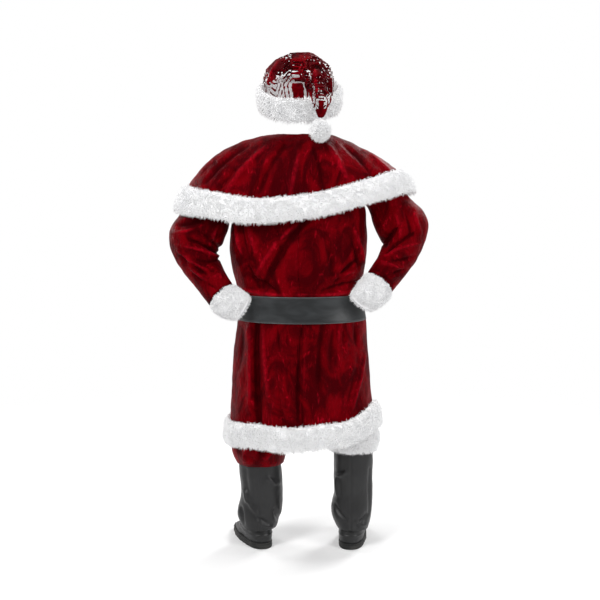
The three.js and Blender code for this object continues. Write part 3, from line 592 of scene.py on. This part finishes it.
SKIRT_FRONT = [
    Crease(0.150, -0.675, 0.165, -1.010, 0.018, -0.011, -1, 0.006),
    Crease(0.095, -0.675, 0.088, -0.860, 0.012, -0.006, -1),
    Crease(0.205, -0.670, 0.222, -0.900, 0.014, -0.006, -1, 0.005),
    Crease(-0.140, -0.675, -0.160, -0.980, 0.017, -0.010, -1, -0.005),
    Crease(-0.085, -0.675, -0.080, -0.820, 0.012, -0.006, -1),
    Crease(-0.200, -0.670, -0.225, -0.870, 0.013, -0.006, -1),
    Crease(0.120, -0.690, 0.128, -0.930, 0.014, 0.005, -1),
    Crease(-0.112, -0.690, -0.120, -0.900, 0.014, 0.005, -1),
]
CHEST_BACK = [
    Crease(-0.010, -0.285, 0.134, -0.515, 0.018, -0.010, 1, 0.012),
    Crease(0.028, -0.300, 0.158, -0.470, 0.014, 0.006, 1, 0.010),
    Crease(0.232, -0.300, 0.198, -0.440, 0.010, 0.007, 1, 0.006),
    Crease(0.212, -0.290, 0.176, -0.430, 0.009, -0.006, 1, 0.006),
    Crease(0.190, -0.290, 0.160, -0.400, 0.009, 0.005, 1),
    Crease(0.226, -0.390, 0.150, -0.520, 0.011, -0.007, 1, -0.006),
    Crease(0.180, -0.480, 0.080, -0.535, 0.010, -0.006, 1, -0.006),
    Crease(-0.186, -0.320, -0.222, -0.440, 0.009, 0.007, 1, -0.005),
    Crease(-0.168, -0.330, -0.204, -0.455, 0.009, -0.006, 1, -0.005),
    Crease(-0.205, -0.420, -0.120, -0.500, 0.011, -0.007, 1, 0.008),
    Crease(-0.108, -0.484, -0.182, -0.462, 0.008, 0.006, 1),
    Crease(-0.196, -0.500, -0.070, -0.530, 0.010, -0.006, 1, 0.006),
    Crease(-0.070, -0.330, -0.110, -0.470, 0.014, -0.005, 1, -0.006),
    Crease(0.090, -0.300, 0.070, -0.400, 0.012, -0.004, 1),
    Crease(-0.215, -0.528, -0.060, -0.540, 0.010, 0.006, 1, -0.004),
    Crease(0.215, -0.528, 0.040, -0.540, 0.010, 0.006, 1, 0.004),
    Crease(0.020, -0.540, -0.050, -0.538, 0.009, 0.004, 1),
]
CHEST_FRONT = [
    Crease(0.215, -0.290, 0.120, -0.480, 0.015, -0.008, -1, 0.010),
    Crease(-0.205, -0.290, -0.120, -0.470, 0.015, -0.008, -1, -0.010),
    Crease(0.200, -0.400, 0.090, -0.540, 0.012, 0.006, -1, 0.008),
    Crease(-0.195, -0.400, -0.090, -0.540, 0.012, 0.006, -1, -0.008),
    Crease(0.140, -0.300, 0.110, -0.420, 0.012, -0.005, -1),
    Crease(-0.140, -0.310, -0.100, -0.430, 0.012, -0.005, -1),
    Crease(0.200, -0.540, 0.060, -0.560, 0.010, 0.006, -1),
    Crease(-0.200, -0.540, -0.060, -0.560, 0.010, 0.006, -1),
]
SLEEVE_CREASES = {
    "left": [
        Crease(0.438, -0.388, 0.330, -0.460, 0.007, 0.008, 0, 0.006),
        Crease(0.424, -0.408, 0.330, -0.474, 0.010, -0.006, 0, 0.005),
        Crease(0.304, -0.405, 0.400, -0.350, 0.009, -0.008, 0, 0.006),
        Crease(0.306, -0.415, 0.436, -0.372, 0.009, 0.006, 0, 0.008),
        Crease(0.300, -0.425, 0.380, -0.420, 0.008, -0.007, 0, -0.004),
        Crease(0.298, -0.388, 0.370, -0.316, 0.010, -0.007, 0, 0.006),
        Crease(0.330, -0.270, 0.438, -0.300, 0.011, -0.006, 0, -0.008),
        Crease(0.350, -0.300, 0.462, -0.330, 0.009, 0.006, 0, -0.006),
        Crease(0.400, -0.430, 0.330, -0.500, 0.009, 0.006, 0, 0.004),
        Crease(0.388, -0.470, 0.300, -0.520, 0.008, -0.006, 0),
        Crease(0.290, -0.470, 0.350, -0.512, 0.007, 0.005, 0),
        Crease(0.300, -0.300, 0.330, -0.370, 0.010, 0.005, 0),
    ],
    "right": [
        Crease(-0.304, -0.398, -0.398, -0.330, 0.009, -0.008, 0, -0.006),
        Crease(-0.300, -0.410, -0.420, -0.362, 0.008, 0.007, 0, -0.008),
        Crease(-0.296, -0.420, -0.392, -0.412, 0.008, -0.007, 0, 0.005),
        Crease(-0.290, -0.432, -0.380, -0.448, 0.008, 0.006, 0, 0.005),
        Crease(-0.300, -0.375, -0.352, -0.300, 0.010, -0.007, 0, -0.006),
        Crease(-0.330, -0.262, -0.352, -0.350, 0.010, 0.007, 0, -0.006),
        Crease(-0.360, -0.250, -0.384, -0.330, 0.009, -0.006, 0, -0.005),
        Crease(-0.400, -0.265, -0.420, -0.330, 0.009, 0.006, 0),
        Crease(-0.372, -0.450, -0.290, -0.480, 0.008, -0.006, 0),
        Crease(-0.360, -0.478, -0.268, -0.470, 0.007, 0.005, 0),
        Crease(-0.270, -0.455, -0.322, -0.505, 0.008, -0.005, 0),
    ],
}
CAPE_CREASES = [
    Crease(0.060, -0.020, 0.150, -0.190, 0.016, -0.007, 1, 0.008),
    Crease(0.130, -0.030, 0.260, -0.180, 0.014, 0.006, 1, 0.010),
    Crease(0.190, -0.020, 0.340, -0.150, 0.014, -0.007, 1, 0.010),
    Crease(0.010, -0.040, 0.040, -0.190, 0.013, 0.005, 1),
    Crease(-0.040, -0.030, -0.070, -0.170, 0.014, -0.006, 1, -0.006),
    Crease(-0.090, -0.020, -0.160, -0.150, 0.013, 0.006, 1, -0.008),
    Crease(-0.150, -0.020, -0.250, -0.130, 0.013, -0.006, 1, -0.008),
    Crease(-0.220, -0.040, -0.310, -0.110, 0.011, 0.005, 1, -0.004),
    Crease(0.300, -0.060, 0.395, -0.160, 0.012, 0.005, 1, 0.006),
    Crease(0.240, -0.110, 0.300, -0.190, 0.010, -0.005, 1),
    Crease(0.070, -0.030, 0.140, -0.200, 0.016, -0.007, -1, 0.008),
    Crease(0.170, -0.030, 0.300, -0.170, 0.014, 0.006, -1, 0.010),
    Crease(-0.060, -0.030, -0.120, -0.190, 0.015, -0.006, -1, -0.008),
    Crease(-0.160, -0.030, -0.270, -0.140, 0.014, 0.006, -1, -0.008),
]
LEG_CREASES = [
    Crease(0.236, -1.110, 0.130, -1.168, 0.010, -0.003, 0, 0.008),
    Crease(0.090, -1.100, 0.170, -1.165, 0.010, 0.006, 0, -0.008),
    Crease(0.200, -1.090, 0.210, -1.160, 0.011, 0.006, 0),
    Crease(0.150, -1.080, 0.150, -1.160, 0.011, -0.003, 0),
    Crease(-0.150, -0.960, -0.200, -1.040, 0.012, -0.003, 0),
    Crease(0.110, -0.900, 0.150, -1.000, 0.012, -0.003, 0),
]


# The middle of the hat's slanted rim, and the way its opening faces.
HAT_RIM_TILT = math.radians(22)
HAT_RIM_MIDDLE = Vector((0.007, 0, 0.150))
HAT_RIM_DOWN = Vector((0, -math.sin(HAT_RIM_TILT), -math.cos(HAT_RIM_TILT)))


def at_hat_rim(place, reach):
    """True for a point that lies in the slanted plane of the hat's rim."""
    offset = place - HAT_RIM_MIDDLE
    return abs(offset.dot(HAT_RIM_DOWN)) < reach and offset.length < 0.135


def hat_crown():
    """The cone of the hat with its point folded over, gathered and creased.

    The voxel remesh needs the outer skin alone. It tears where the solid's outer and inner
    skins are joined away from the rim.
    """
    piece = copy_node("hat_crown", "hat_cone")
    flat = [at_hat_rim(point.co, 0.0005) for point in piece.data.vertices]
    outer_face(piece, [all(flat[i] for i in face.vertices) for face in piece.data.polygons])
    make_active(piece)
    bpy.ops.object.mode_set(mode="EDIT")
    bpy.ops.mesh.select_mode(type="EDGE")
    bpy.ops.mesh.select_all(action="DESELECT")
    bpy.ops.mesh.select_non_manifold(extend=False, use_wire=False, use_multi_face=False)
    bpy.ops.mesh.edge_face_add()
    bpy.ops.object.mode_set(mode="OBJECT")
    apply_modifier(piece, "REMESH", mode="VOXEL", voxel_size=0.0042, adaptivity=0)
    apply_modifier(piece, "SMOOTH", factor=0.5, iterations=6)
    rim_cap = [
        at_hat_rim(face.center, 0.008) and face.normal.dot(HAT_RIM_DOWN) > 0.7
        for face in piece.data.polygons
    ]
    keep_faces(piece, [not capped for capped in rim_cap])
    flat_area = surface_area(piece)
    points = coords(piece)
    facing = normals(piece)
    folds = [
        Crease(-0.006, 0.262, -0.026, 0.150, 0.010, -0.010, 1, -0.004),
        Crease(-0.045, 0.250, -0.060, 0.120, 0.008, 0.006, 1, 0.003),
        Crease(-0.078, 0.230, -0.080, 0.120, 0.008, -0.006, 1, 0.004),
        Crease(-0.060, 0.190, -0.066, 0.085, 0.006, -0.005, 1),
        Crease(0.030, 0.290, 0.070, 0.175, 0.012, -0.005, 1, 0.006),
        Crease(0.080, 0.270, 0.118, 0.195, 0.010, 0.005, 1, 0.004),
        Crease(0.090, 0.178, -0.012, 0.172, 0.006, 0.004, 1, -0.003),
        Crease(0.070, 0.160, -0.020, 0.154, 0.005, -0.004, 1, -0.002),
        Crease(0.060, 0.146, -0.016, 0.140, 0.005, 0.003, 1),
        Crease(0.060, 0.230, -0.005, 0.262, 0.010, -0.004, 1, 0.006),
        Crease(-0.060, 0.270, -0.070, 0.190, 0.012, -0.005, -1, 0.006),
        Crease(0.040, 0.280, 0.060, 0.200, 0.012, -0.005, -1, -0.006),
        Crease(-0.010, 0.290, -0.006, 0.210, 0.011, 0.005, -1),
    ]
    heights = crease_heights(points, facing, folds)
    heights += rumple(points, 18, 0.004, (1.4, 1.4, 0.8), 4)
    heights += rumple(points, 48, 0.0014, (1.4, 1.4, 0.8), 14)
    push(piece, heights)
    # these crease heights also set the velvet's painted highlights on ridges and painted shade in
    # troughs
    store(piece, "crest", np.clip(heights / 0.009, -1, 1))
    apply_modifier(piece, "SMOOTH", factor=0.4, iterations=2)
    thicken(piece, VELVET_WALL)
    finish_piece(piece, "hat_crown", velvet)
    return piece, flat_area


# ------------------------------------------------------------------ fur pieces
def tufts(piece, count, length, thick, nap, outward, seed, bare):
    """Thousands of small bent tufts on a pelt: arrays of points and faces."""
    rng = np.random.default_rng(seed)
    mesh = piece.data
    mesh.calc_loop_triangles()
    points = coords(piece)
    corners = np.array([t.vertices[:] for t in mesh.loop_triangles])
    a, b, c = points[corners[:, 0]], points[corners[:, 1]], points[corners[:, 2]]
    cross = np.cross(b - a, c - a)
    areas = np.linalg.norm(cross, axis=1) / 2
    facing = cross / (2 * areas[:, None] + 1e-12)
    middles = (a + b + c) / 3
    shows = np.einsum("ij,ij->i", facing, outward(middles)) > -0.35
    weight = areas * shows * ~bare(middles)
    chosen = rng.choice(len(areas), count, p=weight / weight.sum())
    u, v = rng.random(count), rng.random(count)
    flip = u + v > 1
    u[flip], v[flip] = 1 - u[flip], 1 - v[flip]
    root = a[chosen] + (b - a)[chosen] * u[:, None] + (c - a)[chosen] * v[:, None]
    normal = facing[chosen]
    swirl = np.array([noise.noise_vector(Vector(p) * 34) for p in root])
    stray = rng.normal(size=(count, 3)) * 0.28
    lean = normal + nap * 0.4 + swirl * 0.75 + stray
    lean /= np.linalg.norm(lean, axis=1)[:, None]
    size = length * (0.65 + 0.6 * rng.random(count))
    side = np.cross(lean, rng.normal(size=(count, 3)))
    side /= np.linalg.norm(side, axis=1)[:, None]
    other = np.cross(lean, side)
    half = thick * (0.7 + 0.6 * rng.random(count))
    droop = nap * (size * 0.3)[:, None] + stray * (size * 0.3)[:, None]
    rings = []
    for part, width, sag in ((0.0, 1.0, 0.0), (0.55, 0.75, 0.3)):
        centre = root + lean * (size * part)[:, None] + droop * sag
        for turn in range(3):
            angle = 2 * math.pi * turn / 3
            spoke = side * math.cos(angle) + other * math.sin(angle)
            rings.append(centre + spoke * (half * width)[:, None])
    tip = root + lean * size[:, None] + droop
    vertices = np.stack([*rings, tip], axis=1).reshape(-1, 3)
    pattern = np.array(
        [
            [0, 2, 1],
            [0, 1, 4], [0, 4, 3],
            [1, 2, 5], [1, 5, 4],
            [2, 0, 3], [2, 3, 5],
            [3, 4, 6], [4, 5, 6], [5, 3, 6],
        ]
    )
    faces = (pattern[None] + (np.arange(count) * 7)[:, None, None]).reshape(-1, 3)
    return vertices, faces


def nowhere(points):
    return np.zeros(len(points), bool)


def fur_trim(
    node,
    name,
    count,
    length,
    outward,
    nap=(0, 0, -1),
    levels=2,
    lump=0.004,
    seed=1,
    thick=0.0013,
    shrink=0.0,
    bare=nowhere,
):
    """A fur trim: a lumpy pelt on its solid's form, covered in bent tufts."""
    piece = copy_node(node, name)
    subdivide(piece, levels)
    points = coords(piece)
    facing = normals(piece)
    out = np.clip(np.einsum("ij,ij->i", facing, outward(points)), 0, 1)
    even = (1, 1, 1)
    lumps = rumple(points, 30, lump, even, seed) + rumple(points, 75, lump * 0.5, even, seed + 5)
    push(piece, (lumps * ~bare(points) - shrink) * out)
    vertices, faces = tufts(piece, count, length, thick, np.array(nap, float), outward, seed, bare)
    mesh = bpy.data.meshes.new(name + "_tufts")
    mesh.from_pydata(vertices.tolist(), [], faces.tolist())
    hair = bpy.data.objects.new(name + "_tufts", mesh)
    bpy.context.scene.collection.objects.link(hair)
    make_active(piece)
    hair.select_set(True)
    bpy.ops.object.join()
    finish_piece(piece, node, fur)
    return piece


def from_axis(x, y):
    """Outward directions from an upright line through x, y."""

    def outward(points):
        away = points - np.array([x, y, 0])
        away[:, 2] = 0
        return away / np.linalg.norm(away, axis=1)[:, None]

    return outward


def from_line(start, end):
    """Outward directions from a line through two points."""
    start, end = np.array(start, float), np.array(end, float)
    along = (end - start) / np.linalg.norm(end - start)

    def outward(points):
        away = points - start
        away = away - (away @ along)[:, None] * along
        return away / np.linalg.norm(away, axis=1)[:, None]

    return outward


def from_point(x, y, z):
    def outward(points):
        away = points - np.array([x, y, z])
        return away / np.linalg.norm(away, axis=1)[:, None]

    return outward


def pressed_flat(points):
    """Where the fur down the front lies under the belt or under the cape."""
    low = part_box("belt_strap")[0]
    front_belt = (points[:, 2] > low.z - 0.006) & (points[:, 2] < low.z + 0.104)
    return front_belt | (points[:, 2] > -0.262)


def middle(node):
    low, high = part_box(node)
    return (low + high) / 2


# ------------------------------------------------------------------ vinyl and metal pieces
def boot_shaft(side, name, creases):
    node = "boot_shaft_" + side
    piece = copy_node(node, name)
    outer_face(piece, short_edged(piece, 0.0025))
    subdivide(piece, 3)
    points = coords(piece)
    facing = normals(piece)
    centre = middle(node)
    heights = crease_heights(points, facing, creases)
    heights += rumple(points, 14, 0.0035, (1, 1, 0.9), 21 if side == "left" else 33)
    heights += rumple(points, 40, 0.0009, (1, 1, 0.9), 5)
    seam_x = centre.x + (0.0 if side == "left" else 0.006)
    near = np.exp(-(((points[:, 0] - seam_x) / 0.0035) ** 2)) * (facing[:, 1] > 0.3)
    ridge = np.exp(-(((np.abs(points[:, 0] - seam_x) - 0.009) / 0.004) ** 2)) * (facing[:, 1] > 0.3)
    heights += ridge * 0.0012 - near * 0.0022
    push(piece, heights)
    thicken(piece, VINYL_WALL)
    return finish_piece(piece, node, boot_vinyl)


BOOT_CREASES = {
    "left": [
        Crease(0.205, -1.290, 0.158, -1.372, 0.014, 0.010, 1, 0.008),
        Crease(0.196, -1.330, 0.128, -1.400, 0.012, -0.008, 1, 0.006),
        Crease(0.225, -1.350, 0.218, -1.410, 0.010, -0.007, 1),
        Crease(0.120, -1.230, 0.085, -1.255, 0.012, 0.006, 1, 0.004),
        Crease(0.205, -1.200, 0.190, -1.330, 0.012, -0.004, 1, 0.004),
        Crease(0.100, -1.350, 0.080, -1.410, 0.011, -0.006, 1),
        Crease(0.150, -1.395, 0.110, -1.420, 0.009, 0.005, 1),
        Crease(0.200, -1.350, 0.110, -1.365, 0.013, -0.008, -1, 0.006),
        Crease(0.205, -1.385, 0.110, -1.398, 0.012, 0.008, -1, 0.006),
        Crease(0.210, -1.270, 0.120, -1.300, 0.013, -0.005, -1, 0.006),
    ],
    "right": [
        Crease(-0.130, -1.225, -0.165, -1.205, 0.010, 0.007, 1, 0.004),
        Crease(-0.128, -1.240, -0.132, -1.300, 0.010, 0.006, 1),
        Crease(-0.125, -1.340, -0.165, -1.385, 0.012, -0.007, 1, 0.004),
        Crease(-0.240, -1.370, -0.205, -1.410, 0.012, -0.006, 1),
        Crease(-0.250, -1.200, -0.252, -1.370, 0.008, -0.004, 1),
        Crease(-0.200, -1.395, -0.240, -1.410, 0.009, 0.005, 1),
        Crease(-0.150, -1.350, -0.235, -1.366, 0.013, -0.008, -1, 0.006),
        Crease(-0.150, -1.385, -0.240, -1.398, 0.012, 0.008, -1, 0.006),
        Crease(-0.150, -1.270, -0.230, -1.300, 0.013, -0.005, -1, 0.006),
    ],
}


def boot_foot(side):
    node = "boot_foot_" + side
    piece = copy_node(node, "foot_upper_" + side)
    outer_face(piece, short_edged(piece, 0.0025))
    subdivide(piece, 3)
    points = coords(piece)
    heights = rumple(points, 24, 0.002, (1, 1, 1), 41)
    level = points[:, 2]
    heights += 0.0018 * np.exp(-(((level + 1.452) / 0.003) ** 2))
    push(piece, heights)
    thicken(piece, VINYL_WALL)
    return finish_piece(piece, node, boot_vinyl)


def boot_sole(side):
    """Rubber sole: rounded edges, a welt line round its top and a heel set off by a notch."""
    node = "boot_sole_" + side
    piece = copy_node(node, "sole_" + side)
    make_active(piece)
    bpy.ops.object.mode_set(mode="EDIT")
    for level in (0.004, 0.0065, 0.009, 0.014):
        bpy.ops.mesh.select_all(action="SELECT")
        bpy.ops.mesh.bisect(plane_co=(0, 0, SOLE_TOP - level), plane_no=(0, 0, 1))
    bpy.ops.object.mode_set(mode="OBJECT")
    points = coords(piece)
    facing = normals(piece)
    groove = np.exp(-(((points[:, 2] - (SOLE_TOP - 0.0065)) / 0.0012) ** 2))
    flat = facing.copy()
    flat[:, 2] = 0
    set_coords(piece, points - flat * (groove * 0.0025)[:, None])
    round_edges(piece, 0.0012, 2, 50)
    return finish_piece(piece, node, rubber)


def belt_strap():
    """Vinyl belt with a shallow wave; its rims and stitches follow two values kept on the mesh."""
    piece = copy_node("belt_strap", "belt")
    source = coords(piece)
    around = np.arctan2(source[:, 1], source[:, 0])
    levels = {}
    for angle, point in zip(np.round(around, 2), source):
        low, high = levels.get(angle, (9, -9))
        levels[angle] = (min(low, point[2]), max(high, point[2]))
    stations = sorted(angle for angle, (low, high) in levels.items() if high - low > 0.05)
    bottoms = [levels[angle][0] for angle in stations]
    tops = [levels[angle][1] for angle in stations]
    make_active(piece)
    bpy.ops.object.mode_set(mode="EDIT")
    bpy.ops.mesh.select_mode(type="EDGE")
    bpy.ops.mesh.select_all(action="DESELECT")
    bpy.ops.mesh.edges_select_sharp(sharpness=math.radians(40))
    bpy.ops.transform.edge_crease(value=1)
    bpy.ops.object.mode_set(mode="OBJECT")
    subdivide(piece, 3)
    points = coords(piece)
    turn = np.arctan2(points[:, 1], points[:, 0])
    bottom = np.interp(turn, stations, bottoms, period=2 * math.pi)
    top = np.interp(turn, stations, tops, period=2 * math.pi)
    across = (points[:, 2] - bottom) / (top - bottom)
    store(piece, "across", across)
    store(piece, "along", turn * 0.2)
    wave = rumple(points, 9, 0.0012, (1, 1, 0.6), 51)
    flat = points.copy()
    flat[:, 2] = 0
    flat /= np.linalg.norm(flat, axis=1)[:, None]
    bell = np.clip(1 - (2 * across - 1) ** 2, 0, 1)
    set_coords(piece, points + flat * (wave * bell)[:, None])
    return piece


def subdivide_faces(piece, cuts):
    make_active(piece)
    bpy.ops.object.mode_set(mode="EDIT")
    bpy.ops.mesh.select_all(action="SELECT")
    bpy.ops.mesh.subdivide(number_cuts=cuts)
    bpy.ops.object.mode_set(mode="OBJECT")


# ------------------------------------------------------------------ making
place_camera()
light_studio()
velvet = crushed_velvet()
fur = plush_fur()
belt_vinyl = belt_cloth()
boot_vinyl = boot_cloth()
rubber = sole_rubber()
brass = brass_plate()

body_out = from_axis(0, 0)
hem_fur = fur_trim("coat_hem_trim", "hem_fur", 14500, 0.011, body_out, nap=(0, 0, -0.7), seed=11)
cape_fur = fur_trim("cape_trim", "cape_fur", 16000, 0.010, body_out, nap=(0, 0, -0.6), seed=12)
front_fur = fur_trim(
    "coat_front_trim",
    "front_fur",
    6500,
    0.012,
    from_point(0, 0.6, -0.55),
    nap=(0, 0, -0.5),
    lump=0.006,
    seed=13,
    bare=pressed_flat,
)
hat_fur = fur_trim("hat_band", "hat_fur", 9500, 0.011, from_axis(0.007, 0), nap=(0, 0, -0.5), seed=14)
cuff_fur = {
    "left": fur_trim(
        "cuff_left",
        "cuff_fur_left",
        4800,
        0.009,
        from_line((0.282, 0.103, -0.551), (0.208, 0.138, -0.592)),
        nap=(-0.6, 0, -0.5),
        seed=15,
    ),
    "right": fur_trim(
        "cuff_right",
        "cuff_fur_right",
        4800,
        0.009,
        from_line((-0.275, 0.095, -0.507), (-0.210, 0.138, -0.574)),
        nap=(0.6, 0, -0.5),
        seed=16,
    ),
}
centre = middle("boot_cuff_right")
fur_trim("boot_cuff_right", "boot_fur_right", 5500, 0.011, from_axis(centre.x, centre.y), seed=19)
hidden = copy_node("boot_cuff_left", "boot_fur_left")
subdivide(hidden, 2)
push(hidden, np.full(len(hidden.data.vertices), -0.002))
finish_piece(hidden, "boot_cuff_left", fur)
ball = middle("hat_pompom")
pompom = fur_trim(
    "hat_pompom",
    "pompom_fur",
    3200,
    0.013,
    from_point(*ball),
    nap=(0, 0, -0.3),
    levels=1,
    seed=25,
    shrink=0.008,
)

back = SKIRT_BACK + CHEST_BACK
front = SKIRT_FRONT + CHEST_FRONT
for node, creases, seed, trims in (
    ("coat_back_left", back, 1, [hem_fur]),
    ("coat_back_right", back, 2, []),
    ("coat_front_left", front, 3, [front_fur]),
    ("coat_front_right", front, 4, []),
):
    velvet_shell(node, 3, creases, 0.004, seed)
for side, seed in (("left", 5), ("right", 6)):
    sleeve = velvet_shell("sleeve_" + side, 3, SLEEVE_CREASES[side], 0.005, seed, 0.004)
    leg = velvet_shell("trouser_leg_" + side, 2, LEG_CREASES, 0.004, seed + 3)
velvet_shell("cape", 3, CAPE_CREASES, 0.004, 7)
hat_crown()

band = copy_node("trouser_waistband", "waistband")
subdivide_faces(band, 2)
finish_piece(band, "trouser_waistband", velvet)

for side in ("left", "right"):
    boot_shaft(side, "boot_leg_" + side, BOOT_CREASES[side])
    boot_foot(side)
    boot_sole(side)

strap = belt_strap()
finish_piece(strap, "belt_strap", belt_vinyl)
for node, name in (("buckle_frame", "buckle_square"), ("buckle_prong", "buckle_tongue")):
    metal = copy_node(node, name)
    round_edges(metal, 0.0014, 3, 40)
    finish_piece(metal, node, brass)

bpy.ops.mesh.primitive_circle_add(
    vertices=64, radius=3.2, fill_type="NGON", location=(0, 0, FLOOR - 0.0005)
)
floor = bpy.context.active_object
floor.name = "floor"
floor.data.materials.append(studio_floor())
